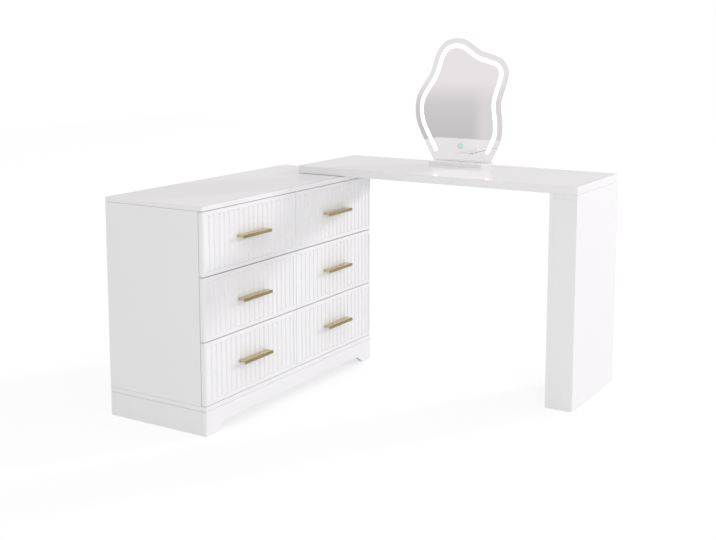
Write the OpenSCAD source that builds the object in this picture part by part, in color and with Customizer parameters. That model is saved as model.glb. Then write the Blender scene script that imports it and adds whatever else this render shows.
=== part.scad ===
// Dressing table: a low chest of six drawers, a desk that swivels on one corner of it, and a lit mirror.
// The drawers face -Y, Z is up, and the origin is on the floor under the centre of the whole table.

/* [Chest] */
// Width of the chest
chest_w = 1000; // [960:1:1200]
// Depth of the chest, drawer fronts included
chest_d = 400; // [390:1:500]
// Height of the chest
chest_h = 730; // [690:1:820]
// Thickness of the boards
board_t = 16; // [15:1:18]
// Thickness of the back panel
back_t = 3; // [3:1:5]
// Radius of the upright front corners
corner_r = 6; // [3:1:9]

/* [Base] */
// Height of the base under the bottom board
base_h = 80; // [60:1:110]
// Length of the flat foot at each end of the skirt
foot_l = 48; // [30:1:80]
// Length of the curve that rises from each foot
curve_l = 57; // [30:1:90]
// Height of the arch between the feet
arch_h = 28; // [15:1:45]

/* [Drawer fronts] */
// Gap beside each drawer front
side_gap = 1; // [1:0.1:2]
// Gap between one drawer front and the next above it
row_gap = 3; // [2:0.1:5]
// Gap between the drawer fronts and the boards behind them
shadow_gap = 1.5; // [1:0.1:3]
// Thickness of a drawer front
front_t = 16; // [15:1:19]
// Width of the raised border round the fluted field
border_w = 13.5; // [8:0.5:18]
// Depth of the field under the border
recess = 3; // [1:0.5:4]
// Distance from one flute to the next
flute_pitch = 25.2; // [18:0.1:40]
// Radius of a flute
flute_r = 3; // [1.5:0.1:4]
// Least width of plain field between the border and the outermost flute
flute_margin = 10; // [4:0.5:20]

/* [Drawer boxes] */
// Height of the drawer's sides
box_h = 150; // [110:1:155]
// Space between the back of the drawer and the back panel
box_space = 31; // [25:1:80]
// Height of the sides above the bottom of their row
box_lift = 22; // [15:1:30]
// Thickness of the drawer's sides and back
side_t = 12; // [12:1:15]
// Thickness of the drawer's bottom
bottom_t = 5; // [3:1:8]
// Height of the drawer's bottom above the lower edge of its sides
bottom_lift = 12; // [8:1:20]
// Depth of the grooves that hold the drawer's bottom
groove_d = 5; // [4:0.5:6]

/* [Runners] */
// Space that a pair of runner members takes beside the drawer
runner_t = 12.7; // [12:0.1:14]
// Height of a runner
runner_h = 35; // [27:1:45]
// Thickness of the runner's steel
steel_t = 1.2; // [1:0.1:1.5]
// Play between the two members of a runner
runner_play = 0.3; // [0.3:0.1:0.5]

/* [Handles] */
// Length of the handle past the axis of each post
pull_end = 12; // [8:1:40]
// Height of the handle
pull_h = 10; // [9:0.5:11]
// Thickness of the handle's shelf and of its front lip
pull_t = 3; // [2.5:0.5:4]
// How far the handle stands out in front of the drawer's border
pull_out = 26; // [20:1:40]
// Distance between the two posts
post_pitch = 128; // [96:1:132]
// Radius of a post
post_r = 4; // [3.5:0.1:4]
// Width of the foot of a post
foot_w = 13; // [10:0.5:16]

/* [Desk] */
// Length of the desk
desk_l = 1096; // [1000:1:1300]
// Width of the desk
desk_w = 400; // [380:1:500]
// Thickness of the desk top
desk_t = 28; // [25:1:40]
// Width of the strip of desk that lies on the chest, across the chest's front
overlap_w = 187; // [150:1:240]
// Depth of the strip of desk that lies on the chest
overlap_d = 205; // [160:1:240]
// Thickness of the hollow leg
leg_l = 96; // [70:1:130]
// How far the leg's narrow panels stand back from its edges
leg_setback = 2; // [1:1:6]
// Thickness of the glides under the leg
glide_t = 2; // [1:0.5:5]

/* [Swivel] */
// Gap between the chest and the desk, which the swivel disc fills
swivel_gap = 0.5; // [0.3:0.1:2]
// Radius of the swivel disc
disc_r = 60; // [40:1:70]
// Depth of the disc's pocket in the desk top
disc_pocket = 2.5; // [1.5:0.1:4]
// Radius of the pivot bolt
bolt_r = 6; // [4:0.5:8]
// Thickness of desk top left above the end of the bolt
bolt_cover = 8; // [5:0.5:15]
// Radius of the bush round the bolt
bush_r = 11; // [10:0.5:13]

/* [Mirror] */
// Distance of the mirror's face from the long edge of the desk behind it
mirror_edge = 63; // [60:1:250]
// Distance of the mirror's middle from the leg end of the desk
mirror_y = 586; // [300:1:700]
// Thickness of the mirror glass
glass_t = 5; // [4:0.5:6]
// Depth of the cover behind the glass
cover_d = 7; // [6:0.5:12]
// Thickness of the cover's walls
cover_wall = 1.5; // [1:0.1:2.5]
// How far the cover's edge stands inside the edge of the glass
cover_inset = 12; // [8:1:14]
// Distance of the lit band from the edge of the glass
strip_inset = 20; // [15:0.5:22]
// Width of the lit band
strip_w = 14.5; // [8:0.5:20]
// Height of the centres of the band's two round ends above the lower edge of the glass
strip_end = 40; // [30:1:70]
// Radius of the touch switch
button_r = 13; // [8:1:16]

/* [Mirror stand] */
// Width of the base plate, from the front of the mirror to its back
plate_w = 110; // [90:1:125]
// Length of the base plate
plate_l = 220; // [160:1:260]
// Thickness of the base plate
plate_t = 12; // [10:1:20]
// Gap between the base plate and the lower edge of the glass
lower_gap = 1; // [0.5:0.5:6]
// Length of the tongue that stands in the base plate
tongue_l = 60; // [40:1:90]
// Depth of the slot for the tongue
slot_d = 8; // [6:0.5:9]

/* [Hidden] */
// Overshoot of a cut past the face that it goes through
past = 1;
// Clearance all round a round part in its hole
hole_fit = 0.05;
// Hair's breadth between two separate pieces of one sub-part
seam = 0.05;
// Clearance of the tongue in its slot
slot_fit = 0.3;
// How far the back panel lies in each board round it
rebate_w = 8;
// Straight sides that stand for a full circle
round_fn = 48;

COLUMNS = ["left", "right"];
ROWS = ["bottom", "middle", "top"];
DRAWER_PARTS = ["drawer_front", "drawer_box", "drawer_bottom", "handle", "drawer_runners"];
CHEST_PARTS = [
    "top_board", "bottom_board", "left_side_panel", "right_side_panel", "centre_partition", "back_panel",
    "base_front_skirt", "base_back_board", "base_left_board", "base_right_board", "base_middle_board",
    "cabinet_runners", "cam_locks", "pivot_bush",
];
DESK_PARTS = [
    "desk_top", "leg_outer_panel", "leg_inner_panel", "leg_near_panel", "leg_far_panel",
    "leg_top_board", "leg_bottom_board", "leg_glides", "swivel_disc", "pivot_bolt",
];
MIRROR_PARTS = ["mirror_base", "mirror_cover", "mirror_glass", "light_strip", "touch_button", "power_socket"];

white = "whitesmoke";
raw_board = "burlywood";
steel = "silver";
brass = "#b08d57";

// Heights of the chest
floor_z = base_h + board_t;
roof_z = chest_h - board_t;
row_h = (roof_z - floor_z) / len(ROWS);

// The bays between the upright boards, one for each column of drawers
column_w = chest_w / 2;
bay_w = column_w - 1.5 * board_t;
panel_y = front_t + shadow_gap;

// A drawer, in its own frame at the left, front, bottom corner of its row
front_w = column_w - 2 * side_gap;
front_h = row_h - row_gap;
field_w = front_w - 2 * border_w;
field_h = front_h - 2 * border_w;
flute_room = field_w - 2 * (flute_margin + flute_r);
flute_n = floor(flute_room / flute_pitch) + 1;
handle_x = column_w / 2;
handle_z = row_h / 2;
pull_l = post_pitch + 2 * pull_end;
box_w = bay_w - 2 * runner_t;
box_l = chest_d - back_t - box_space - front_t;
bottom_z = box_lift + bottom_lift;

// Runners
runner_z = box_lift + box_h / 2;
member_h = runner_h - 2 * steel_t - 2 * runner_play;
lip_gap = 0.5;
member_d = runner_t - steel_t - lip_gap;
runner_setback = 1;
runner_start = panel_y + runner_setback;

// Handle
foot_t = 1.5;
screw_r = 2;
screw_bite = 10;
screw_head_r = 4;
screw_head_t = 2.5;

// Cam locks, two at each end of each upright board
cam_r = 7.5;
cam_d = 12.5;
cam_slot_w = 2;
cam_slot_d = 1.5;
cam_end = 24;
cam_inset = 60;
cam_ys = [cam_inset, chest_d - cam_inset];
cam_zs = [floor_z + cam_end, roof_z - cam_end];

// Swivel pivot, at the middle of the overlap
pivot_x = chest_w - overlap_w / 2;
pivot_y = overlap_d / 2;
flange_r = 16;
flange_t = 2;
head_r = 11;
head_t = 6;
bolt_bite = desk_t - bolt_cover;

// Desk
desk_x = chest_w - overlap_w;
desk_y = overlap_d - desk_l;
desk_z = chest_h + swivel_gap;
desk_top_z = desk_z + desk_t;
leg_z = glide_t + board_t;
leg_h = desk_z - leg_z;
glide_r = 10;
glide_edge = 22;

// Mirror and its light
plate_r = 8;
inlay_t = 2;
button_x = 5;
button_z = 57;
button_t = 1;
socket_x = 70;
socket_z = 60;
socket_r = 5;
socket_bore_r = 2.75;
socket_pin_r = 1;
socket_out = 1.5;
socket_l = 6;
socket_floor = 1;
pin_recess = 1;

// The edge of the mirror, up the side nearer the chest, over the top and down the other side.
// Each point is [from the middle towards the chest, above the flat lower edge].
EDGE = [
    [117, 0], [173, 102], [192, 150], [197, 196], [188, 242], [162, 286], [134, 328],
    [120, 368], [106, 405], [78, 440], [38, 456], [-6, 453], [-42, 433], [-76, 411],
    [-118, 399], [-162, 380], [-184, 338], [-175, 285], [-156, 222], [-163, 140], [-156, 82], [-116, 0],
];

// Straight steps from one point of the mirror's edge to the next, and round one end of the lit band
EDGE_STEPS = 5;
END_STEPS = 16;

// A point on the smooth curve through a, b, c and d, at t from 0 at b to 1 at c
function smooth(a, b, c, d, t) =
    (2 * b + t * (c - a) + t * t * (2 * a - 5 * b + 4 * c - d) + t * t * t * (3 * b - a - 3 * c + d)) / 2;

// The same list with one more point past each end, in line with the last two
function with_ends(p) = concat([2 * p[0] - p[1]], p, [2 * p[len(p) - 1] - p[len(p) - 2]]);

// The smooth curve through all the points
function curve(p, steps) = let (q = with_ends(p)) concat(
    [for (i = [0 : len(p) - 2], s = [0 : steps - 1]) smooth(q[i], q[i + 1], q[i + 2], q[i + 3], s / steps)],
    [p[len(p) - 1]]
);

// Unit vector into the shape at one point of a curve that runs round it to the left
function inward(p, i) = let (
    tangent = p[min(i + 1, len(p) - 1)] - p[max(i - 1, 0)]
) [-tangent.y, tangent.x] / norm(tangent);

// The curve moved into the shape
function inset(p, distance) = [for (i = [0 : len(p) - 1]) p[i] + distance * inward(p, i)];

rim = curve(EDGE, EDGE_STEPS);
strip_path = inset(rim, strip_inset + strip_w / 2);
strip_span = [for (i = [0 : len(rim) - 1]) if (strip_path[i].y > strip_end) i];
strip_first = strip_span[0];
strip_last = strip_span[len(strip_span) - 1];

// How far along from a to b, as a share, the height is that of the band's ends
function share_to_end(a, b) = (strip_end - a.y) / (b.y - a.y);
first_share = share_to_end(strip_path[strip_first], strip_path[strip_first - 1]);
last_share = share_to_end(strip_path[strip_last], strip_path[strip_last + 1]);

// The stretch of a curve beside the band's middle, from one end of the band to the other
function band_stretch(p) = concat(
    [p[strip_first] + first_share * (p[strip_first - 1] - p[strip_first])],
    [for (i = strip_span) p[i]],
    [p[strip_last] + last_share * (p[strip_last + 1] - p[strip_last])]
);

strip_middle = band_stretch(strip_path);
strip_outer = band_stretch(inset(rim, strip_inset));
strip_inner = band_stretch(inset(rim, strip_inset + strip_w));

function turned(v, angle) = [v.x * cos(angle) - v.y * sin(angle), v.x * sin(angle) + v.y * cos(angle)];

// Points of the half circle that rounds an end of the band, from a corner to the one beside it
function band_end(centre, corner) = [
    for (s = [1 : END_STEPS - 1]) centre + turned(corner - centre, 180 * s / END_STEPS)
];

// Centre of the whole table on the floor
centre_x = (chest_w + desk_w - overlap_w) / 2;
centre_y = (chest_d + overlap_d - desk_l) / 2;

module at_origin() {
    translate([-centre_x, -centre_y, 0]) children();
}

// What the rounding of an upright corner takes away, for a corner at the origin
module corner_cut() {
    difference() {
        translate([-past, -past]) square(corner_r + past);
        translate([corner_r, corner_r]) circle(corner_r, $fn = round_fn);
    }
}

// Plan of a board whose front corners are rounded where asked
module front_plan(w, d, round_left, round_right) {
    difference() {
        square([w, d]);
        if (round_left) corner_cut();
        if (round_right) translate([w, 0]) mirror([1, 0]) corner_cut();
    }
}

// A rectangle with four round corners
module round_plan(w, d, r) {
    translate([r, 0]) square([w - 2 * r, d]);
    translate([0, r]) square([w, d - 2 * r]);
    for (x = [r, w - r], y = [r, d - r])
        translate([x, y]) circle(r, $fn = round_fn);
}

// Holes or pins of the pivot, on its axis from height z up
module pivot_round(r, h, z) {
    translate([pivot_x, pivot_y, z]) cylinder(r = r, h = h, $fn = round_fn);
}

// Chest

module top_board() {
    color(white) difference() {
        translate([0, 0, roof_z]) linear_extrude(board_t) front_plan(chest_w, chest_d, true, true);
        back_rebate(roof_z - past, roof_z + rebate_w);
        pivot_round(bush_r + hole_fit, board_t + 2 * past, roof_z - past);
    }
}

module bottom_board() {
    color(white) difference() {
        translate([0, 0, base_h]) linear_extrude(board_t) front_plan(chest_w, chest_d, true, true);
        back_rebate(floor_z - rebate_w, floor_z + past);
    }
}

// The step along a board's back edge in which the back panel lies, between two heights
module back_rebate(from_z, to_z) {
    translate([board_t - rebate_w, chest_d - back_t, from_z])
        cube([chest_w - 2 * (board_t - rebate_w), back_t + past, to_z - from_z]);
}

module back_panel() {
    color(raw_board) translate([board_t - rebate_w, chest_d - back_t, floor_z - rebate_w])
        cube([chest_w - 2 * (board_t - rebate_w), back_t, roof_z - floor_z + 2 * rebate_w]);
}

// An upright board of the left side, with its rebate and the bores for its cam locks
module side_panel() {
    difference() {
        translate([0, panel_y, floor_z]) cube([board_t, chest_d - panel_y, roof_z - floor_z]);
        back_rebate(floor_z - past, roof_z + past);
        cam_bores(board_t);
    }
}

module left_side_panel() {
    color(white) side_panel();
}

module right_side_panel() {
    color(white) translate([chest_w, 0, 0]) mirror([1, 0, 0]) side_panel();
}

module centre_partition() {
    color(white) difference() {
        translate([column_w - board_t / 2, panel_y, floor_z])
            cube([board_t, chest_d - back_t - panel_y, roof_z - floor_z]);
        cam_bores(column_w + board_t / 2);
    }
}

// Blind bores into the face at face_x of an upright board, from its +X side
module cam_bores(face_x) {
    for (y = cam_ys, z = cam_zs)
        translate([face_x - cam_d, y, z]) rotate([0, 90, 0])
            cylinder(r = cam_r, h = cam_d + past, $fn = round_fn);
}

// The cams in those bores, flush with the face, each with a slot for the screwdriver
module cams(face_x) {
    for (y = cam_ys, z = cam_zs)
        translate([face_x - cam_d, y, z]) rotate([0, 90, 0]) difference() {
            cylinder(r = cam_r - hole_fit, h = cam_d, $fn = round_fn);
            translate([-cam_r, -cam_slot_w / 2, cam_d - cam_slot_d])
                cube([2 * cam_r, cam_slot_w, cam_slot_d + past]);
        }
}

module cam_locks() {
    color(steel) {
        cams(board_t);
        cams(column_w + board_t / 2);
        translate([chest_w, 0, 0]) mirror([1, 0, 0]) cams(board_t);
    }
}

// Front of the base, with a flat foot at each end and an arch between them
module base_front_skirt() {
    steps = 12;
    rise = [for (i = [0 : steps]) [foot_l + curve_l * i / steps, arch_h * (1 - cos(180 * i / steps)) / 2]];
    fall = [for (i = [0 : steps]) [chest_w - rise[steps - i].x, rise[steps - i].y]];
    color(white) intersection() {
        linear_extrude(base_h) front_plan(chest_w, board_t, true, true);
        translate([0, board_t + past, 0]) rotate([90, 0, 0]) linear_extrude(board_t + 2 * past)
            polygon(concat([[0, 0]], rise, fall, [[chest_w, 0], [chest_w, base_h], [0, base_h]]));
    }
}

module base_back_board() {
    color(white) translate([0, chest_d - board_t, 0]) cube([chest_w, board_t, base_h]);
}

// A board of the base that runs from front to back, from a height up to the bottom board
module base_rib(x, from_z = 0) {
    color(white) translate([x, board_t, from_z]) cube([board_t, chest_d - 2 * board_t, base_h - from_z]);
}

module base_left_board() {
    base_rib(0);
}

module base_right_board() {
    base_rib(chest_w - board_t);
}

// The middle board stays as far above the floor as the skirt's arch, which hides it
module base_middle_board() {
    base_rib(column_w - board_t / 2, arch_h);
}

// Pivot bush, pressed into the top board from below
module pivot_bush() {
    color(steel) difference() {
        union() {
            pivot_round(bush_r, board_t, roof_z);
            pivot_round(flange_r, flange_t, roof_z - flange_t);
        }
        pivot_round(bolt_r + hole_fit, board_t + flange_t + 2 * past, roof_z - flange_t - past);
    }
}

// Drawers

function row_z(row) = floor_z + row * row_h;
function bay_x(column) = column == 0 ? board_t : column_w + board_t / 2;
// Left edge of the drawer's box, inside its column
function box_x(column) = bay_x(column) - column * column_w + runner_t;

module in_row(column, row) {
    translate([column * column_w, 0, row_z(row)]) children();
}

// Both ends of the handle, for its posts, screws and holes
module at_posts() {
    for (end = [-1, 1])
        translate([handle_x + end * post_pitch / 2, 0, handle_z]) children();
}

module drawer_front(column, row) {
    color(white) in_row(column, row) difference() {
        translate([side_gap, 0, row_gap / 2]) linear_extrude(front_h)
            front_plan(front_w, front_t, column == 0, column == 1);
        translate([side_gap + border_w, -past, row_gap / 2 + border_w])
            cube([field_w, recess + past, field_h]);
        flutes();
        translate([box_x(column) + side_t - groove_d, front_t - groove_d, bottom_z])
            cube([box_w - 2 * side_t + 2 * groove_d, groove_d + past, bottom_t]);
        at_posts() rotate([-90, 0, 0]) cylinder(r = screw_r + hole_fit, h = front_t + past, $fn = round_fn);
    }
}

// The round-bottomed flutes, over the full height of the field
module flutes() {
    for (i = [0 : flute_n - 1])
        translate([column_w / 2 + (i - (flute_n - 1) / 2) * flute_pitch, recess, row_gap / 2 + border_w])
            cylinder(r = flute_r, h = field_h, $fn = round_fn);
}

// The two sides and the back of the box
module drawer_box(column, row) {
    color(raw_board) in_row(column, row) translate([box_x(column), front_t, box_lift]) {
        box_side();
        translate([box_w, 0, 0]) mirror([1, 0, 0]) box_side();
        translate([side_t + seam, box_l - side_t, bottom_lift + bottom_t])
            cube([box_w - 2 * side_t - 2 * seam, side_t, box_h - bottom_lift - bottom_t]);
    }
}

// A side of the box, with the groove for the drawer's bottom in its inner face
module box_side() {
    difference() {
        cube([side_t, box_l, box_h]);
        translate([side_t - groove_d, -past, bottom_lift])
            cube([groove_d + past, box_l + 2 * past, bottom_t]);
    }
}

module drawer_bottom(column, row) {
    color(raw_board) in_row(column, row)
        translate([box_x(column) + side_t - groove_d, front_t - groove_d, bottom_z])
            cube([box_w - 2 * side_t + 2 * groove_d, box_l + groove_d, bottom_t]);
}

// The handle, and the two screws that hold it from inside the drawer
module handle(column, row) {
    in_row(column, row) {
        color(brass) handle_pull();
        color(steel) at_posts() handle_screw();
    }
}

// A shelf against the sunk field with a lip along its front, and a post under it at each screw
module handle_pull() {
    difference() {
        union() {
            translate([handle_x - pull_l / 2, -pull_out, handle_z - pull_h / 2]) {
                cube([pull_l, pull_t, pull_h]);
                translate([0, 0, pull_h - pull_t])
                    cube([pull_l, pull_out + recess, pull_t]);
            }
            at_posts() handle_post();
        }
        at_posts() translate([0, recess - screw_bite, 0]) rotate([-90, 0, 0])
            cylinder(r = screw_r + hole_fit, h = screw_bite + past, $fn = round_fn);
    }
}

// A post from the lip to the sunk field, with a foot that spans the flute behind it
module handle_post() {
    translate([0, pull_t / 2 - pull_out, 0]) rotate([-90, 0, 0])
        cylinder(r = post_r, h = pull_out - pull_t / 2 + recess, $fn = round_fn);
    translate([-foot_w / 2, recess - foot_t, -pull_h / 2])
        cube([foot_w, foot_t, pull_h]);
}

module handle_screw() {
    translate([0, recess - screw_bite + seam, 0]) rotate([-90, 0, 0])
        cylinder(r = screw_r, h = front_t - recess + screw_bite - seam, $fn = round_fn);
    translate([0, front_t, 0]) rotate([-90, 0, 0])
        cylinder(r = screw_head_r, h = screw_head_t, $fn = round_fn);
}

// A channel of bent steel along Y, open to +X
module channel(d, l, h) {
    difference() {
        cube([d, l, h]);
        translate([steel_t, -past, steel_t]) cube([d, l + 2 * past, h - 2 * steel_t]);
    }
}

// Both sides of the bay, the second one mirrored
module at_bay_sides(column) {
    translate([bay_x(column) - column * column_w, 0, runner_z]) {
        children();
        translate([bay_w, 0, 0]) mirror([1, 0, 0]) children();
    }
}

// The runner members on the upright boards, two for each drawer
module cabinet_runners() {
    color(steel) for (column = [0, 1], row = [0 : 2])
        in_row(column, row) at_bay_sides(column)
            translate([0, runner_start, -runner_h / 2]) channel(member_d, box_l, runner_h);
}

// The runner members on the sides of one drawer
module drawer_runners(column, row) {
    color(steel) in_row(column, row) at_bay_sides(column)
        translate([runner_t, front_t, -member_h / 2]) mirror([1, 0, 0])
            channel(member_d, box_l, member_h);
}

// Desk

module in_desk() {
    translate([desk_x, desk_y, 0]) children();
}

module desk_top() {
    color(white) difference() {
        in_desk() translate([0, 0, desk_z]) linear_extrude(desk_t) round_plan(desk_w, desk_l, corner_r);
        pivot_round(disc_r + hole_fit, disc_pocket + past, desk_z - past);
        pivot_round(bolt_r + hole_fit, bolt_bite + past, desk_z - past);
    }
}

// A wide panel of the leg, at a distance from the end of the desk
module leg_wide_panel(y) {
    color(white) in_desk() translate([0, y, leg_z]) cube([desk_w, board_t, leg_h]);
}

module leg_outer_panel() {
    leg_wide_panel(0);
}

module leg_inner_panel() {
    leg_wide_panel(leg_l - board_t);
}

// A narrow panel of the leg, between the wide ones
module leg_narrow_panel(x) {
    color(white) in_desk() translate([x, board_t, leg_z])
        cube([board_t, leg_l - 2 * board_t, leg_h - board_t]);
}

module leg_near_panel() {
    leg_narrow_panel(leg_setback);
}

module leg_far_panel() {
    leg_narrow_panel(desk_w - leg_setback - board_t);
}

module leg_top_board() {
    color(white) in_desk() translate([leg_setback, board_t, desk_z - board_t])
        cube([desk_w - 2 * leg_setback, leg_l - 2 * board_t, board_t]);
}

module leg_bottom_board() {
    color(white) in_desk() translate([0, 0, glide_t]) cube([desk_w, leg_l, board_t]);
}

module leg_glides() {
    color("dimgray") in_desk()
        for (x = [glide_edge, desk_w - glide_edge], y = [glide_edge, leg_l - glide_edge])
            translate([x, y, 0]) cylinder(r = glide_r, h = glide_t, $fn = round_fn);
}

// Slippery disc between the desk and the chest
module swivel_disc() {
    color("ivory") difference() {
        pivot_round(disc_r, disc_pocket + swivel_gap, chest_h);
        pivot_round(bolt_r + hole_fit, disc_pocket + swivel_gap + 2 * past, chest_h - past);
    }
}

// Bolt from under the top board, through the bush, into the desk top
module pivot_bolt() {
    bearing_z = roof_z - flange_t;
    color(steel) {
        pivot_round(bolt_r, desk_z + bolt_bite - bearing_z, bearing_z);
        pivot_round(head_r, head_t, bearing_z - head_t);
    }
}

// Mirror, in a frame at the middle of the lower edge of the face of its glass

module in_mirror() {
    translate([desk_x + desk_w - mirror_edge, desk_y + mirror_y, desk_top_z + plate_t + lower_gap])
        children();
}

// A flat shape drawn as it looks from behind the mirror, from depth x backwards
module slice(x, thickness) {
    translate([x, 0, 0]) rotate([90, 0, 90]) linear_extrude(thickness) children();
}

// Same as slice, with a round shape at y, z
module round_slice(x, thickness, r, y, z) {
    translate([x, y, z]) rotate([0, 90, 0]) cylinder(r = r, h = thickness, $fn = round_fn);
}

// The lit band with its two round ends
module strip_shape() {
    last = len(strip_middle) - 1;
    polygon(concat(
        strip_outer,
        band_end(strip_middle[last], strip_outer[last]),
        [for (i = [last : -1 : 0]) strip_inner[i]],
        band_end(strip_middle[0], strip_inner[0])
    ));
}

module mirror_glass() {
    color("lightsteelblue") in_mirror() difference() {
        slice(0, glass_t) polygon(rim);
        slice(-past, inlay_t + past) strip_shape();
        round_slice(-past, button_t + past, button_r, button_x, button_z);
    }
}

module light_strip() {
    color("white") in_mirror() slice(0, inlay_t) strip_shape();
}

module touch_button() {
    color("lightcyan") in_mirror() round_slice(0, button_t, button_r - hole_fit, button_x, button_z);
}

// Shallow tray behind the glass, with the tongue that stands in the base
module mirror_cover() {
    color(white) in_mirror() difference() {
        union() {
            slice(glass_t, cover_d) polygon(inset(rim, cover_inset));
            translate([glass_t, -tongue_l / 2, -lower_gap - slot_d])
                cube([cover_d, tongue_l, lower_gap + slot_d + cover_inset]);
        }
        slice(glass_t - past, cover_d - cover_wall + past) polygon(inset(rim, cover_inset + cover_wall));
        round_slice(glass_t, cover_d + past, socket_r + hole_fit, socket_x, socket_z);
    }
}

// Round inlet for the light's lead, in the back of the cover
module power_socket() {
    start = glass_t + cover_d + socket_out - socket_l;
    pin_l = socket_l - socket_floor - pin_recess;
    color("dimgray") in_mirror() {
        difference() {
            round_slice(start, socket_l, socket_r, socket_x, socket_z);
            round_slice(start + socket_floor, socket_l, socket_bore_r, socket_x, socket_z);
        }
        round_slice(start + socket_floor, pin_l, socket_pin_r, socket_x, socket_z);
    }
}

module mirror_base() {
    color(white) in_mirror() difference() {
        translate([-plate_w / 2, -plate_l / 2, -lower_gap - plate_t]) linear_extrude(plate_t)
            round_plan(plate_w, plate_l, plate_r);
        translate([glass_t - slot_fit, -tongue_l / 2 - slot_fit, -lower_gap - slot_d])
            cube([cover_d + 2 * slot_fit, tongue_l + 2 * slot_fit, slot_d + past]);
    }
}

at_origin() top_board();
at_origin() bottom_board();
at_origin() left_side_panel();
at_origin() right_side_panel();
at_origin() centre_partition();
at_origin() back_panel();
at_origin() base_front_skirt();
at_origin() base_back_board();
at_origin() base_left_board();
at_origin() base_right_board();
at_origin() base_middle_board();
at_origin() cabinet_runners();
at_origin() cam_locks();
at_origin() pivot_bush();
at_origin() desk_top();
at_origin() leg_outer_panel();
at_origin() leg_inner_panel();
at_origin() leg_near_panel();
at_origin() leg_far_panel();
at_origin() leg_top_board();
at_origin() leg_bottom_board();
at_origin() leg_glides();
at_origin() swivel_disc();
at_origin() pivot_bolt();
at_origin() mirror_base();
at_origin() mirror_cover();
at_origin() mirror_glass();
at_origin() light_strip();
at_origin() touch_button();
at_origin() power_socket();

// The same five parts for each of the six drawers
for (column = [0, 1], row = [0 : 2]) {
    drawer = str(COLUMNS[column], "_", ROWS[row], "_");
    at_origin() drawer_front(column, row);
    at_origin() drawer_box(column, row);
    at_origin() drawer_bottom(column, row);
    at_origin() handle(column, row);
    at_origin() drawer_runners(column, row);
}
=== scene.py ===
"""Looks of the dressing table: a low white chest of six fluted drawers, a desk that swivels on it, and a lit mirror.

Everything is in metres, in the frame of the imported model: the drawers face -Y, Z is up, the floor is at z = 0.
"""
import math

import bmesh
import bpy
from mathutils import Matrix, Vector


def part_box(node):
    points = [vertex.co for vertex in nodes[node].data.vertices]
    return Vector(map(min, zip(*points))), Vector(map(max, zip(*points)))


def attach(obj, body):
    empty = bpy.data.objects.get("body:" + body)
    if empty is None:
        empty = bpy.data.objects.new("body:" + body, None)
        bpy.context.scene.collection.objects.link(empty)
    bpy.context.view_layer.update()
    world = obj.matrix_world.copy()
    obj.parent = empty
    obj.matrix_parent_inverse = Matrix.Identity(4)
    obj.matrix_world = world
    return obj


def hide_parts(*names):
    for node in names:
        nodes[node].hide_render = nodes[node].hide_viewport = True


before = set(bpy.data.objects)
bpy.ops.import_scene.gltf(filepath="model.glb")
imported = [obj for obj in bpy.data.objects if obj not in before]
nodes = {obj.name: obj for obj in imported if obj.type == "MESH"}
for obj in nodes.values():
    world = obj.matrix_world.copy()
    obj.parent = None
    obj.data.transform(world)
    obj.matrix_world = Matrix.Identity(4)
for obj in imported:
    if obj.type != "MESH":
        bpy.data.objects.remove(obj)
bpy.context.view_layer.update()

COLUMNS = ("left", "right")
ROWS = ("bottom", "middle", "top")
MM = 0.001


# ---------------------------------------------------------------- sizes

# Points closer than WELD are one point, and points closer than NEAR to a plane lie on it
WELD = 0.001 * MM
NEAR = 0.01 * MM
# Turns between two faces: below the first they are one flat face, above the others the edge is kept sharp or eased
FLAT_TURN = math.radians(0.5)
SHARP_TURN = math.radians(35)
EASED_TURN = math.radians(40)

# How far the sides of the chest's boards are drawn in, so that their joints show as hairlines
HAIRLINE = 0.25 * MM
# How far the narrow panels of the leg are brought out towards the edges of the wide ones
FLUSH = 1.8 * MM

# Drawer front: radius of its edges, and of the upright edge at the chest's corner
EDGE_R = 1.2 * MM
EDGE_STEPS = 4
CORNER_R = 6 * MM
CORNER_STEPS = 5
# Plain border round the fluted field, and half the width of the slope at its inner edge
BORDER_W = 13.5 * MM
FIELD_WALL = 0.9 * MM
# Depth of the field, and its flutes: their depth, the soft shoulder beside each, and the crown of the lands between
RECESS = 3 * MM
FLUTES = 18
FLUTE_PITCH = 25.2 * MM
FLUTE_R = 3 * MM
FLUTE_SHOULDER = 1.4 * MM
LAND_CROWN = 0.5 * MM
# Where a slope, a flute and a land are sampled, in shares of their half width or of the pitch
SLOPE_SHARES = (-1, -0.5, 0, 0.5, 1)
FLUTE_SHARES = (-1, -0.8, -0.6, -0.4, -0.2, 0, 0.2, 0.4, 0.6, 0.8, 1)
LAND_SHARES = (0.25, 0.375, 0.5, 0.625, 0.75)

# Handle: height of the lip, thickness of shelf and lip, radius of their edges and of the corner between them
PULL_H = 10 * MM
PULL_T = 3 * MM
PULL_EDGE = 0.8 * MM
PULL_FILLET = 1.6 * MM
# Posts of the handle, which flare at their ends into a flat foot
POST_R = 4 * MM
POST_PITCH = 128 * MM
POST_FLARE = 0.6 * MM
POST_FLARE_L = 1.6 * MM
POST_STEPS = 32
FOOT_W = 13 * MM
FOOT_T = 1.5 * MM
FOOT_H = PULL_H - 0.4 * MM
# Screw head: a dome as distances along its axis and shares of its radius, ending at the bottom of its socket
SCREW_HEAD_R = 4 * MM
SCREW_HEAD_T = 2.5 * MM
SCREW_HEAD_STEPS = 24
SCREW_DOME = [(0, 1), (1.2 * MM, 1), (2 * MM, 0.8), (SCREW_HEAD_T, 0.45), (1.6 * MM, 0.3)]

# Glass: width of the arris ground along its rim, least turn of an edge that gets it, and gap above the base
ARRIS = 0.7 * MM
RIM_TURN = math.radians(60)
GLASS_GAP = 0.1 * MM
# Share along X of a face's normal: above FACING it is the front or back of the glass, below SIDEWAYS a side
FACING = 0.9
SIDEWAYS = 0.5
# A face smaller than this, in square metres, is a sliver
SLIVER = 1e-9


# ---------------------------------------------------------------- materials

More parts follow.
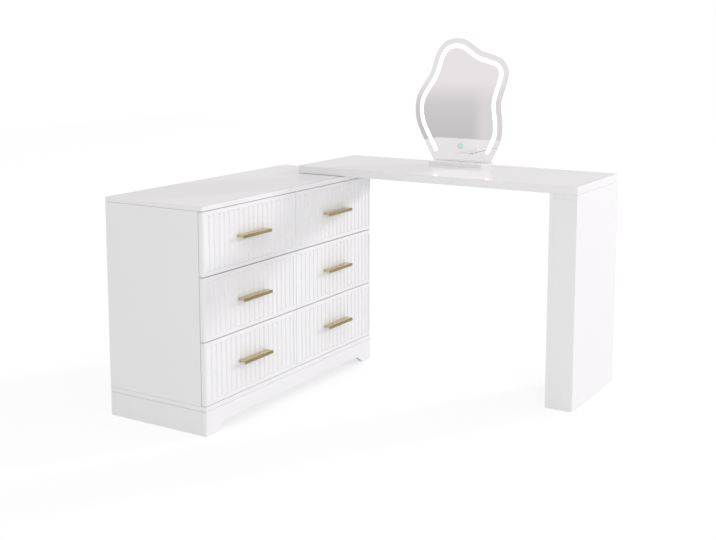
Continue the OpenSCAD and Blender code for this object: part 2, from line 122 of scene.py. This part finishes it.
class Nodes:
    """A node tree, with short ways to add, set and link nodes."""

    def __init__(self, tree):
        self.tree = tree

    def add(self, kind, **settings):
        """A new node. A setting with a capital letter is a socket's value, any other a property of the node."""
        node = self.tree.nodes.new("ShaderNode" + kind)
        for label, value in settings.items():
            if label[0].isupper():
                node.inputs[label.replace("_", " ")].default_value = value
            else:
                setattr(node, label, value)
        return node

    def link(self, source, target):
        self.tree.links.new(source, target)

    def ranged(self, value, **settings):
        """A value carried over from one range to another."""
        node = self.add("MapRange", **settings)
        self.link(value, node.inputs["Value"])
        return node.outputs["Result"]

    def mix(self, factor):
        """A mix of two colours by a factor: its two inputs and its output."""
        node = self.add("Mix", data_type="RGBA")
        self.link(factor, node.inputs[0])
        first, second = [s for s in node.inputs if s.type == "RGBA"]
        return first, second, next(s for s in node.outputs if s.type == "RGBA")


class Shader(Nodes):
    """A material built on one Principled shader, with short ways to add procedural detail to it."""

    def __init__(self, name, **sockets):
        self.material = bpy.data.materials.new(name)
        self.material.use_nodes = True
        super().__init__(self.material.node_tree)
        self.bsdf = self.tree.nodes["Principled BSDF"]
        for label, value in sockets.items():
            self.bsdf.inputs[label.replace("_", " ")].default_value = value
        self.coords = self.add("TexCoord").outputs["Object"]

    def space(self, stretch):
        """The piece's own coordinates in metres, stretched along its axes."""
        mapping = self.add("Mapping", Scale=stretch)
        self.link(self.coords, mapping.inputs["Vector"])
        return mapping.outputs["Vector"]

    def noise(self, scale, detail, stretch=(1, 1, 1)):
        """Soft noise from 0 to 1, with about scale spots to the metre."""
        node = self.add("TexNoise", Scale=scale, Detail=detail)
        self.link(self.space(stretch), node.inputs["Vector"])
        return node.outputs["Fac"]

    def cells(self, scale, stretch=(1, 1, 1)):
        """Distance from the middle of the nearest cell, with about scale cells to the metre."""
        node = self.add("TexVoronoi", Scale=scale)
        self.link(self.space(stretch), node.inputs["Vector"])
        return node.outputs["Distance"]

    def tint(self, factor, first, second, target="Base Color"):
        """A colour that goes from the first to the second with a factor."""
        low, high, colour = self.mix(factor)
        low.default_value = (*first, 1)
        high.default_value = (*second, 1)
        self.link(colour, self.bsdf.inputs[target])

    def roughen(self, factor, low, high):
        """Roughness that goes from low to high with a factor."""
        self.link(self.ranged(factor, To_Min=low, To_Max=high), self.bsdf.inputs["Roughness"])

    def bump(self, factor, height):
        """Relief of this height in metres. A second call lies on top of the first."""
        node = self.add("Bump", Distance=height)
        before = self.bsdf.inputs["Normal"].links
        if before:
            self.link(before[0].from_socket, node.inputs["Normal"])
        self.link(factor, node.inputs["Height"])
        self.link(node.outputs["Normal"], self.bsdf.inputs["Normal"])


def make_lacquer(name, smoothest, roughest, peel):
    """White lacquer with the faint orange peel that a spray gun leaves."""
    s = Shader(name, Specular_IOR_Level=0.5)
    s.tint(s.noise(3.0, 3.0), (0.872, 0.872, 0.876), (0.882, 0.882, 0.882))
    s.roughen(s.noise(40.0, 3.0), smoothest, roughest)
    s.bump(s.noise(5.0, 1.0), 0.1 * MM)
    s.bump(s.noise(300.0, 1.0), peel)
    return s.material


def make_back_board():
    """Thin hardboard with a matt white face, in which the pressed fibres just show."""
    s = Shader("back_board")
    s.tint(s.noise(60.0, 6.0), (0.70, 0.70, 0.69), (0.75, 0.75, 0.74))
    s.roughen(s.noise(200.0, 3.0), 0.6, 0.75)
    s.bump(s.noise(900.0, 4.0, (1, 1, 0.35)), 0.08 * MM)
    return s.material


def make_drawer_board():
    """Board in a pale matt foil with a fine even grain from front to back."""
    s = Shader("drawer_board")
    s.tint(s.noise(30.0, 6.0, (6, 0.5, 6)), (0.66, 0.645, 0.61), (0.72, 0.71, 0.685))
    s.roughen(s.noise(120.0, 3.0), 0.42, 0.55)
    s.bump(s.noise(60.0, 5.0, (14, 0.8, 14)), 0.06 * MM)
    return s.material


def make_brass():
    """Polished brass with the fine lines of its drawing. Painted shade: its colour is darker down the front of the
    lip and lighter on the shelf behind it.
    """
    s = Shader("brass", Metallic=1.0, Anisotropic=0.3)
    streaks = s.noise(160.0, 4.0, (0.1, 9, 9))
    split = s.add("SeparateXYZ")
    s.link(s.coords, split.inputs["Vector"])
    lip_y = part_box("left_top_handle")[0].y
    # Painted shade: this mask keeps the front of the lip at the darker brass colour and gives the shelf behind it
    # the lighter one
    painted_lip_shade_mask = s.ranged(
        split.outputs["Y"], interpolation_type="SMOOTHSTEP", From_Min=lip_y + 2 * MM, From_Max=lip_y + 5 * MM,
    )
    # Random unevenness of tone, added to the painted shade of the lip
    uneven_and_painted_shade = s.add("Math", operation="MULTIPLY_ADD")
    s.link(s.noise(90.0, 3.0, (0.4, 2, 2)), uneven_and_painted_shade.inputs[0])
    uneven_and_painted_shade.inputs[1].default_value = 0.35
    s.link(painted_lip_shade_mask, uneven_and_painted_shade.inputs[2])
    s.tint(uneven_and_painted_shade.outputs["Value"], (0.30, 0.255, 0.13), (0.64, 0.535, 0.29))
    s.roughen(streaks, 0.05, 0.12)
    s.bump(streaks, 0.01 * MM)
    return s.material


def make_steel(name, first, second, stretch=(1, 1, 1)):
    """Bright plated or turned steel with a fine mottled skin."""
    s = Shader(name, Metallic=1.0)
    s.tint(s.cells(260.0, stretch), first, second)
    s.roughen(s.noise(150.0, 4.0, stretch), 0.25, 0.42)
    s.bump(s.noise(700.0, 3.0, stretch), 0.01 * MM)
    return s.material


def make_felt():
    """Grey pressed felt."""
    s = Shader("felt", Roughness=0.95, Sheen_Weight=0.6, Sheen_Roughness=0.5)
    s.tint(s.noise(700.0, 6.0), (0.16, 0.16, 0.165), (0.34, 0.34, 0.34))
    s.bump(s.noise(1400.0, 6.0), 0.4 * MM)
    return s.material


def make_slip_plastic():
    """Cream slippery plastic, a little translucent."""
    s = Shader("slip_plastic", Subsurface_Weight=0.05, Subsurface_Scale=2 * MM)
    s.tint(s.noise(25.0, 3.0), (0.76, 0.74, 0.66), (0.81, 0.79, 0.72))
    s.roughen(s.noise(90.0, 3.0), 0.35, 0.5)
    s.bump(s.noise(500.0, 2.0), 0.03 * MM)
    return s.material


def make_white_plate():
    """Fine-grained satin powder coat."""
    s = Shader("white_plate")
    s.tint(s.noise(10.0, 2.0), (0.90, 0.885, 0.88), (0.925, 0.91, 0.905))
    s.roughen(s.noise(250.0, 3.0), 0.28, 0.4)
    s.bump(s.noise(1600.0, 2.0), 0.03 * MM)
    return s.material


def make_mirror():
    """Silvered glass: a hard bright mirror that is flat but for the faint waviness of float glass."""
    s = Shader("mirror_glass", Metallic=1.0, Coat_Weight=0.3, Coat_Roughness=0.01)
    s.tint(s.noise(4.0, 2.0), (0.875, 0.88, 0.88), (0.89, 0.895, 0.895))
    s.roughen(s.noise(6.0, 2.0), 0.01, 0.02)
    s.bump(s.noise(2.5, 1.0), 0.03 * MM)
    return s.material


def make_glass_edge():
    """The ground and polished edge of the glass, green-grey and a little frosted."""
    s = Shader("glass_edge", Coat_Weight=0.4, Coat_Roughness=0.08)
    s.tint(s.noise(60.0, 2.0), (0.60, 0.64, 0.62), (0.68, 0.71, 0.70))
    s.roughen(s.noise(300.0, 3.0), 0.25, 0.4)
    s.bump(s.noise(900.0, 2.0), 0.01 * MM)
    return s.material


def make_light_band():
    """Frosted strip lit from behind by a row of small lamps, whose glow nearly evens out."""
    s = Shader("light_diffuser", Base_Color=(0.45, 0.45, 0.44, 1), Roughness=0.5, Emission_Strength=1.9)
    s.tint(s.cells(110.0), (1.0, 0.985, 0.955), (1.0, 0.975, 0.93), "Emission Color")
    s.bump(s.noise(800.0, 2.0), 0.03 * MM)
    return s.material


def make_touch_mark():
    """Pale green mark of the touch switch, faintly lit."""
    s = Shader("touch_mark", Roughness=0.35, Emission_Strength=0.2)
    s.tint(s.noise(150.0, 2.0), (0.56, 0.68, 0.655), (0.60, 0.72, 0.695))
    s.tint(s.noise(90.0, 2.0), (0.42, 0.74, 0.68), (0.50, 0.80, 0.75), "Emission Color")
    return s.material


def make_inlet_plastic():
    """Black moulded plastic with a fine grain."""
    s = Shader("inlet_plastic")
    s.tint(s.noise(200.0, 3.0), (0.012, 0.012, 0.013), (0.022, 0.022, 0.024))
    s.roughen(s.noise(500.0, 3.0), 0.35, 0.5)
    s.bump(s.noise(1500.0, 3.0), 0.04 * MM)
    return s.material


LACQUER = make_lacquer("white_lacquer", smoothest=0.26, roughest=0.32, peel=0.004 * MM)
GLOSS = make_lacquer("white_lacquer_top", smoothest=0.05, roughest=0.08, peel=0.0008 * MM)
BACK_BOARD = make_back_board()
DRAWER_BOARD = make_drawer_board()
BRASS = make_brass()
RUNNER_STEEL = make_steel("runner_steel", (0.50, 0.51, 0.53), (0.64, 0.65, 0.67))
BUSH_STEEL = make_steel("bush_steel", (0.36, 0.36, 0.37), (0.48, 0.48, 0.49), stretch=(1, 1, 12))
FELT = make_felt()
SLIP_PLASTIC = make_slip_plastic()
WHITE_PLATE = make_white_plate()
MIRROR = make_mirror()
GLASS_EDGE = make_glass_edge()
LIGHT_BAND = make_light_band()
TOUCH_MARK = make_touch_mark()
INLET_PLASTIC = make_inlet_plastic()


# ---------------------------------------------------------------- making meshes

def add_piece(name, mesh_maker, material, body, replaced):
    """A new piece from a function that fills a bmesh. It rides on a body and stands for CAD nodes."""
    bm = bmesh.new()
    mesh_maker(bm)
    bmesh.ops.recalc_face_normals(bm, faces=bm.faces)
    mesh = bpy.data.meshes.new(name)
    bm.to_mesh(mesh)
    bm.free()
    mesh.materials.append(material)
    mesh.polygons.foreach_set("use_smooth", [True] * len(mesh.polygons))
    mesh.set_sharp_from_angle(angle=SHARP_TURN)
    piece = bpy.data.objects.new(name, mesh)
    bpy.context.scene.collection.objects.link(piece)
    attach(piece, body)
    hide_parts(*replaced)
    return piece


def fill_from_node(bm, node):
    """The CAD node's shape, welded and with its flat faces in one piece each."""
    bm.from_mesh(nodes[node].data)
    bmesh.ops.remove_doubles(bm, verts=bm.verts, dist=WELD)
    bmesh.ops.dissolve_limit(bm, angle_limit=FLAT_TURN, verts=bm.verts, edges=bm.edges)


def ease_edges(piece, radius):
    """Round every sharp edge of a piece to a small radius."""
    bevel = piece.modifiers.new("eased edges", "BEVEL")
    bevel.width = radius
    bevel.segments = 2
    bevel.limit_method = "ANGLE"
    bevel.angle_limit = EASED_TURN
    bevel.harden_normals = True
    bevel.use_clamp_overlap = True


def eased_copy(node, material, body, radius, inset=0.0):
    """A board or plate with the CAD node's shape and its sharp edges eased to a small radius.

    An inset draws each side of it in a little, which leaves a hairline in the joint with the next board.
    """
    def fill(bm):
        fill_from_node(bm, node)
        lo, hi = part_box(node)
        for v in bm.verts:
            for axis in range(3):
                middle, half = (lo[axis] + hi[axis]) / 2, (hi[axis] - lo[axis]) / 2
                v.co[axis] = middle + (v.co[axis] - middle) * (1 - inset / half)

    piece = add_piece("eased_" + node, fill, material, body, [node])
    ease_edges(piece, radius)
    return piece


def bring_flush(piece, node):
    """Carry the outer face of a narrow panel of the leg nearly out to the edges of the wide ones beside it."""
    lo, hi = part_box(node)
    desk_lo, desk_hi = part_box("desk_top")
    middle = (desk_lo.x + desk_hi.x) / 2
    outer, step = (lo.x, -FLUSH) if lo.x < middle else (hi.x, FLUSH)
    for v in piece.data.vertices:
        if abs(v.co.x - outer) < NEAR:
            v.co.x += step


def lathe(bm, start, axis, profile, steps):
    """A turned solid: profile is a list of (distance along the axis, radius)."""
    axis = Vector(axis).normalized()
    side = axis.orthogonal().normalized()
    turn = Matrix.Rotation(2 * math.pi / steps, 3, axis)
    rings = []
    for along, radius in profile:
        ring, spoke = [], side * radius
        for _ in range(steps):
            ring.append(bm.verts.new(Vector(start) + axis * along + spoke))
            spoke = turn @ spoke
        rings.append(ring)
    for low, high in zip(rings, rings[1:]):
        for i in range(steps):
            j = (i + 1) % steps
            bm.faces.new((low[i], low[j], high[j], high[i]))
    bm.faces.new(rings[0])
    bm.faces.new(rings[-1])


# ---------------------------------------------------------------- drawer fronts

def ease(distance, radius):
    """How far a face falls back at a distance from an edge rounded to a radius."""
    if distance >= radius:
        return 0.0
    return radius - math.sqrt(radius ** 2 - (radius - distance) ** 2)


def smooth_step(t):
    """A smooth rise from 0 to 1 while t goes from 0 to 1."""
    t = min(max(t, 0.0), 1.0)
    return t * t * (3 - 2 * t)


def rounding_samples(radius, steps):
    """Distances from an edge, at even turns round its rounding."""
    return [radius * (1 - math.cos(math.pi / 2 * i / steps)) for i in range(steps + 1)]


def across_samples(width, left_r, right_r):
    """Places across a drawer front where its profile is sampled."""
    samples = rounding_samples(left_r, CORNER_STEPS)
    samples += [width - s for s in rounding_samples(right_r, CORNER_STEPS)]
    for wall in (BORDER_W, width - BORDER_W):
        samples += [wall + FIELD_WALL * share for share in SLOPE_SHARES]
    half = FLUTE_R + FLUTE_SHOULDER
    for i in range(FLUTES):
        centre = width / 2 + (i - (FLUTES - 1) / 2) * FLUTE_PITCH
        samples += [centre + half * share for share in FLUTE_SHARES]
        samples += [centre + FLUTE_PITCH * share for share in LAND_SHARES]
    return sorted(s for s in set(samples) if 0 <= s <= width)


def along_samples(height):
    """Places up a drawer front where its profile is sampled."""
    samples = rounding_samples(EDGE_R, EDGE_STEPS)
    samples += [BORDER_W + FIELD_WALL * share for share in SLOPE_SHARES]
    return samples + [height / 2] + [height - s for s in reversed(samples)]


def fluted_depth(x, width):
    """Depth of the fluted field behind the border, across the drawer front."""
    offset = (x - width / 2) / FLUTE_PITCH + (FLUTES - 1) / 2
    nearest = min(max(round(offset), 0), FLUTES - 1)
    distance = abs(offset - nearest) * FLUTE_PITCH
    groove = FLUTE_R * (1 - smooth_step(distance / (FLUTE_R + FLUTE_SHOULDER)))
    crown = LAND_CROWN * (1 - min(distance / (FLUTE_PITCH / 2), 1)) ** 2
    return RECESS + groove + crown


def front_depth(x, z, width, height, left_r, right_r):
    """How far the face of a drawer front lies behind its foremost plane."""
    inside = min(x, width - x, z, height - z) - BORDER_W
    field = smooth_step((inside / FIELD_WALL + 1) / 2)
    edges = ease(x, left_r) + ease(width - x, right_r) + ease(z, EDGE_R) + ease(height - z, EDGE_R)
    return edges + field * fluted_depth(x, width)


def fill_front(bm, node, left_r, right_r):
    """A drawer front: a fluted face, with plain sides and back."""
    lo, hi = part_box(node)
    width, height = hi.x - lo.x, hi.z - lo.z
    xs = across_samples(width, left_r, right_r)
    zs = along_samples(height)
    face = [
        [bm.verts.new((lo.x + x, lo.y + front_depth(x, z, width, height, left_r, right_r), lo.z + z)) for x in xs]
        for z in zs
    ]
    for row, above in zip(face, face[1:]):
        for i in range(len(xs) - 1):
            bm.faces.new((row[i], row[i + 1], above[i + 1], above[i]))
    rim = face[0] + [row[-1] for row in face[1:]] + face[-1][-2::-1] + [row[0] for row in face[-2:0:-1]]
    back = [bm.verts.new((v.co.x, hi.y, v.co.z)) for v in rim]
    for i in range(len(rim)):
        j = (i + 1) % len(rim)
        bm.faces.new((rim[i], back[i], back[j], rim[j]))
    bm.faces.new(back)


# ---------------------------------------------------------------- handles

def rounded(outline, radii, steps=4):
    """A closed outline of square (y, z) corners, run round once, with each corner rounded to its own radius."""
    points = []
    for i, (corner, radius) in enumerate(zip(outline, radii)):
        here = Vector(corner)
        back = (Vector(outline[i - 1]) - here).normalized()
        ahead = (Vector(outline[(i + 1) % len(outline)]) - here).normalized()
        centre = here + (back + ahead) * radius
        for k in range(steps + 1 if radius else 1):
            turn = math.pi / 2 * k / steps
            points.append(centre - (ahead * math.cos(turn) + back * math.sin(turn)) * radius)
    return points


def fill_pull(bm, node):
    """A shelf that stands out from the sunk field with a lip down its front, and a post under it at each screw."""
    lo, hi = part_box(node)
    back_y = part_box(node.replace("handle", "drawer_front"))[0].y + RECESS
    top, bottom = hi.z, hi.z - PULL_H
    outline = [
        (back_y, top), (lo.y, top), (lo.y, bottom), (lo.y + PULL_T, bottom), (lo.y + PULL_T, top - PULL_T),
        (back_y, top - PULL_T),
    ]
    section = rounded(outline, [0, 2 * PULL_EDGE, PULL_EDGE, PULL_EDGE, PULL_FILLET, 0])
    left = [bm.verts.new((lo.x, y, z)) for y, z in section]
    right = [bm.verts.new((hi.x, y, z)) for y, z in section]
    for i in range(len(section)):
        j = (i + 1) % len(section)
        bm.faces.new((left[i], left[j], right[j], right[i]))
    bm.faces.new(left)
    bm.faces.new(right)
    mid_x, mid_z = (lo.x + hi.x) / 2, (top + bottom) / 2
    for side in (-1, 1):
        x = mid_x + side * POST_PITCH / 2
        start_y = lo.y + PULL_T / 2
        reach = back_y - FOOT_T - start_y
        post = [(0, POST_R), (reach - POST_FLARE_L, POST_R), (reach, POST_R + POST_FLARE)]
        lathe(bm, (x, start_y, mid_z), (0, 1, 0), post, POST_STEPS)
        foot_middle = Vector((x, back_y - FOOT_T / 2, mid_z))
        for v in bmesh.ops.create_cube(bm, size=1.0)["verts"]:
            v.co = foot_middle + v.co * Vector((FOOT_W, FOOT_T, FOOT_H))


def fill_screw_heads(bm, node):
    """The two screw heads inside the drawer, each a low dome with a round socket."""
    lo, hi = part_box(node)
    dome = [(along, SCREW_HEAD_R * share) for along, share in SCREW_DOME]
    for side in (-1, 1):
        x = (lo.x + hi.x) / 2 + side * POST_PITCH / 2
        lathe(bm, (x, hi.y - SCREW_HEAD_T, (lo.z + hi.z) / 2), (0, 1, 0), dome, SCREW_HEAD_STEPS)


# ---------------------------------------------------------------- mirror

def on_rim(edge, back_x):
    """Whether an edge belongs to a face that runs through the glass to its back."""
    return any(
        abs(f.normal.x) < SIDEWAYS and any(v.co.x > back_x - NEAR for v in f.verts) and f.calc_area() > SLIVER
        for f in edge.link_faces
    )


def fill_glass(bm):
    """The CAD glass with a narrow flat arris ground along its rim. It reaches down to just above the base.

    Faces of the rim get the second material.
    """
    fill_from_node(bm, "mirror_glass")
    lo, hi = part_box("mirror_glass")
    for v in bm.verts:
        if v.co.z < lo.z + NEAR:
            v.co.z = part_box("mirror_base")[1].z + GLASS_GAP
    outline = [
        e for e in bm.edges
        if e.calc_face_angle(0) > RIM_TURN
        and (all(v.co.x < lo.x + NEAR for v in e.verts) or all(v.co.x > hi.x - NEAR for v in e.verts))
        and on_rim(e, hi.x)
    ]
    bmesh.ops.bevel(bm, geom=outline, offset=ARRIS, segments=1, affect="EDGES", profile=0.5, clamp_overlap=True)
    for face in bm.faces:
        if abs(face.normal.x) < FACING:
            face.material_index = 1


# ---------------------------------------------------------------- pieces

def dress_drawer(column, row):
    """Front, handle, screw heads and box of a drawer. Its front is rounded more at the chest's outer corner."""
    drawer = f"{column}_{row}"
    body = drawer + "_drawer"
    front = drawer + "_drawer_front"
    handle = drawer + "_handle"
    left_r, right_r = (CORNER_R, EDGE_R) if column == "left" else (EDGE_R, CORNER_R)
    add_piece(
        "fluted_" + front, lambda bm: fill_front(bm, front, left_r, right_r), LACQUER, body, [front],
    )
    pull = add_piece("pull_" + handle, lambda bm: fill_pull(bm, handle), BRASS, body, [handle])
    ease_edges(pull, radius=0.5 * MM)
    add_piece("screws_" + handle, lambda bm: fill_screw_heads(bm, handle), BUSH_STEEL, body, [])
    eased_copy(drawer + "_drawer_box", DRAWER_BOARD, body, radius=0.5 * MM)
    nodes[drawer + "_drawer_bottom"].data.materials[0] = DRAWER_BOARD
    nodes[drawer + "_drawer_runners"].data.materials[0] = RUNNER_STEEL


eased_copy("top_board", GLOSS, "chest", radius=1.2 * MM, inset=HAIRLINE)
eased_copy("bottom_board", LACQUER, "chest", radius=1.2 * MM, inset=HAIRLINE)
for node in (
    "left_side_panel", "right_side_panel", "centre_partition",
    "base_front_skirt", "base_back_board", "base_left_board", "base_right_board", "base_middle_board",
):
    eased_copy(node, LACQUER, "chest", radius=1.0 * MM, inset=HAIRLINE)
eased_copy("back_panel", BACK_BOARD, "chest", radius=0.4 * MM)

eased_copy("desk_top", GLOSS, "desk", radius=1.8 * MM)
for node in (
    "leg_outer_panel", "leg_inner_panel", "leg_near_panel", "leg_far_panel", "leg_top_board", "leg_bottom_board",
):
    piece = eased_copy(node, LACQUER, "desk", radius=0.3 * MM)
    if node in ("leg_near_panel", "leg_far_panel"):
        bring_flush(piece, node)

for column in COLUMNS:
    for row in ROWS:
        dress_drawer(column, row)

eased_copy("mirror_base", WHITE_PLATE, "mirror", radius=0.6 * MM)
eased_copy("mirror_cover", WHITE_PLATE, "mirror", radius=1.0 * MM)
glass = add_piece("ground_mirror_glass", fill_glass, MIRROR, "mirror", ["mirror_glass"])
glass.data.materials.append(GLASS_EDGE)
# The faces of the glass are dead flat, and only its rim is shaded smooth
for face in glass.data.polygons:
    face.use_smooth = face.material_index == 1

for node, material in {
    "cabinet_runners": RUNNER_STEEL, "cam_locks": BUSH_STEEL, "pivot_bush": BUSH_STEEL, "pivot_bolt": BUSH_STEEL,
    "swivel_disc": SLIP_PLASTIC, "leg_glides": FELT, "light_strip": LIGHT_BAND, "touch_button": TOUCH_MARK,
    "power_socket": INLET_PLASTIC,
}.items():
    nodes[node].data.materials[0] = material


# ---------------------------------------------------------------- floor, light and camera

# Corners of the floor. It ends behind the camera, where the mirror shows the studio's wall over its edge
FLOOR = [(-6.4, -9), (9, -9), (9, 9), (-6.4, 9)]
# Light that lifts the floor towards white, in reflections and for the eye, and the colour there that takes shadows
FLOOR_MIRRORED = 0.60
FLOOR_SEEN = 0.74
FLOOR_SHADED = (0.3, 0.3, 0.3, 1)

# Colours of the studio's wall behind the camera, of the screen ahead, and of the soft light from either side
WALL_TINT = (1.0, 0.940, 0.957)
AHEAD_TINT = (1.0, 0.975, 0.965)
LIGHT_LEFT = (0.985, 1.0, 0.970)
LIGHT_RIGHT = (0.975, 0.920, 0.995)
# Strength of the world's light at the horizon and straight above
SKY_LOW = 0.57
SKY_HIGH = 0.94
# What glossy surfaces mirror: levels at heights from the horizon, as the sine of the angle, up to STUDIO_REACH
STUDIO_REACH = 0.2
SCREENS = [(-0.0485, 0.91), (0.0, 0.90), (0.05, 1.07), (0.2, 1.07)]
WALL = [(-0.104, 0.62), (-0.095, 0.64), (-0.077, 0.68), (-0.068, 0.715), (-0.058, 0.81)] + SCREENS
BAY = [(-0.104, 0.765), (-0.095, 0.785), (-0.068, 0.785), (-0.058, 0.84)] + SCREENS
AHEAD = [(-0.104, 0.81), (-0.0485, 0.85), (0.0, 0.85), (0.08, 0.77), (0.2, 0.80)]
# The corner between wall and bay stands 25.6 degrees from -X towards +Y: normal of the upright plane through it
CORNER_NORMAL = (0.4315, 0.9021, 0)

# Where the lamps aim, at the middle of the object
AIM = Vector((0.1, 0.0, 0.45))

# The camera at the photo's viewing angle, solved from its straight edges. Lens in millimetres, turns in degrees
CAMERA_LENS = 57.155
CAMERA_SENSOR = 36
CAMERA_SHIFT = -0.12
CAMERA_PLACE = (-3.2641, -1.9455, 1.2779)
CAMERA_DOWN = 7.975
CAMERA_TURN = -58.418


def make_floor():
    """A plain pale floor, lifted to white for the eye and nearly so in reflections. The object's shadow stays."""
    bm = bmesh.new()
    bm.faces.new([bm.verts.new((x, y, 0)) for x, y in FLOOR])
    mesh = bpy.data.meshes.new("floor")
    bm.to_mesh(mesh)
    bm.free()
    floor = bpy.data.objects.new("floor", mesh)
    bpy.context.scene.collection.objects.link(floor)

    s = Shader("floor", Base_Color=(0.94, 0.94, 0.94, 1), Roughness=1.0, Specular_IOR_Level=0.0)
    path = s.add("LightPath")
    lift = s.add("Emission")
    s.link(
        s.ranged(path.outputs["Is Camera Ray"], To_Min=FLOOR_MIRRORED, To_Max=FLOOR_SEEN), lift.inputs["Strength"],
    )
    lifted = s.add("AddShader")
    s.link(s.add("BsdfDiffuse", Color=FLOOR_SHADED).outputs[0], lifted.inputs[0])
    s.link(lift.outputs[0], lifted.inputs[1])
    shown = path.outputs["Is Camera Ray"]
    for ray in ("Is Glossy Ray", "Is Transmission Ray"):
        either = s.add("Math", operation="MAXIMUM")
        s.link(shown, either.inputs[0])
        s.link(path.outputs[ray], either.inputs[1])
        shown = either.outputs[0]
    pick = s.add("MixShader")
    s.link(shown, pick.inputs[0])
    s.link(s.bsdf.outputs[0], pick.inputs[1])
    s.link(lifted.outputs[0], pick.inputs[2])
    s.link(pick.outputs[0], s.tree.nodes["Material Output"].inputs["Surface"])
    mesh.materials.append(s.material)


def make_world():
    """Even soft light, a white ground for the eye, and a pale studio for what is reflected."""
    world = bpy.data.worlds.new("studio")
    bpy.context.scene.world = world
    world.use_nodes = True
    world.node_tree.nodes.clear()
    w = Nodes(world.node_tree)
    direction = w.add("TexCoord").outputs["Generated"]
    split = w.add("SeparateXYZ")
    w.link(direction, split.inputs["Vector"])

    def levels(stops, tint):
        """A tint at levels that follow the height from the horizon."""
        ramp = w.add("ValToRGB")
        while len(ramp.color_ramp.elements) < len(stops):
            ramp.color_ramp.elements.new(0.5)
        for element, (height, level) in zip(ramp.color_ramp.elements, stops):
            element.position = (height + STUDIO_REACH) / (2 * STUDIO_REACH)
            element.color = (*(level * share for share in tint), 1)
        w.link(w.ranged(split.outputs["Z"], From_Min=-STUDIO_REACH, From_Max=STUDIO_REACH), ramp.inputs["Fac"])
        return ramp.outputs["Color"]

    def across(normal, softness, near, beyond):
        """One colour on this side of a plane through the origin and another beyond it."""
        side = w.add("VectorMath", operation="DOT_PRODUCT")
        side.inputs[1].default_value = normal
        w.link(direction, side.inputs[0])
        first, second, colour = w.mix(w.ranged(
            side.outputs["Value"], interpolation_type="SMOOTHSTEP", From_Min=-softness, From_Max=softness,
        ))
        w.link(near, first)
        w.link(beyond, second)
        return colour

    behind = across(CORNER_NORMAL, softness=0.006, near=levels(BAY, WALL_TINT), beyond=levels(WALL, WALL_TINT))
    studio = w.add("Background", Strength=1.0)
    surround = across((1, 0, 0), softness=0.2, near=behind, beyond=levels(AHEAD, AHEAD_TINT))
    w.link(surround, studio.inputs["Color"])

    light = w.add("Background")
    w.link(w.ranged(split.outputs["Z"], To_Min=SKY_LOW, To_Max=SKY_HIGH), light.inputs["Strength"])
    sides = w.add("ValToRGB")
    sides.color_ramp.elements[0].color = (*LIGHT_LEFT, 1)
    sides.color_ramp.elements[1].color = (*LIGHT_RIGHT, 1)
    w.link(w.ranged(split.outputs["X"], From_Min=-1.0), sides.inputs["Fac"])
    w.link(sides.outputs["Color"], light.inputs["Color"])

    white = w.add("Background", Color=(1, 1, 1, 1), Strength=1.0)
    path = w.add("LightPath")
    shown = light.outputs[0]
    for ray, ground in (("Is Glossy Ray", studio), ("Is Camera Ray", white)):
        pick = w.add("MixShader")
        w.link(path.outputs[ray], pick.inputs[0])
        w.link(shown, pick.inputs[1])
        w.link(ground.outputs[0], pick.inputs[2])
        shown = pick.outputs[0]
    w.link(shown, w.add("OutputWorld").inputs["Surface"])


def make_lamp(name, towards, distance, size, level, colour=(1, 1, 1)):
    """A soft round lamp that no reflection shows.

    level is the light it gives a white surface that faces it, where 1 is full white.
    """
    towards = Vector(towards).normalized()
    data = bpy.data.lights.new(name, "AREA")
    data.shape = "DISK"
    data.size = size
    data.energy = level * (math.pi * distance) ** 2
    data.color = colour
    lamp = bpy.data.objects.new(name, data)
    lamp.location = AIM + towards * distance
    lamp.rotation_euler = (-towards).to_track_quat("-Z", "Y").to_euler()
    lamp.visible_glossy = False
    bpy.context.scene.collection.objects.link(lamp)


def make_camera():
    """A camera at CAMERA_PLACE, turned and tilted as the photo's was, with a small lens shift."""
    data = bpy.data.cameras.new("camera")
    data.lens = CAMERA_LENS
    data.sensor_width = CAMERA_SENSOR
    data.shift_y = CAMERA_SHIFT
    camera = bpy.data.objects.new("camera", data)
    camera.location = CAMERA_PLACE
    camera.rotation_euler = (math.radians(90 - CAMERA_DOWN), 0, math.radians(CAMERA_TURN))
    bpy.context.scene.collection.objects.link(camera)
    bpy.context.scene.camera = camera


make_floor()
make_world()
make_lamp("key", (1.6, -1.0, 0.52), distance=14.0, size=1.4, level=0.365, colour=(1.0, 0.975, 1.005))
make_lamp("left", (-0.9, -1.0, 0.25), distance=8.0, size=3.2, level=0.130)
make_camera()
bpy.context.scene.view_settings.view_transform = "Standard"
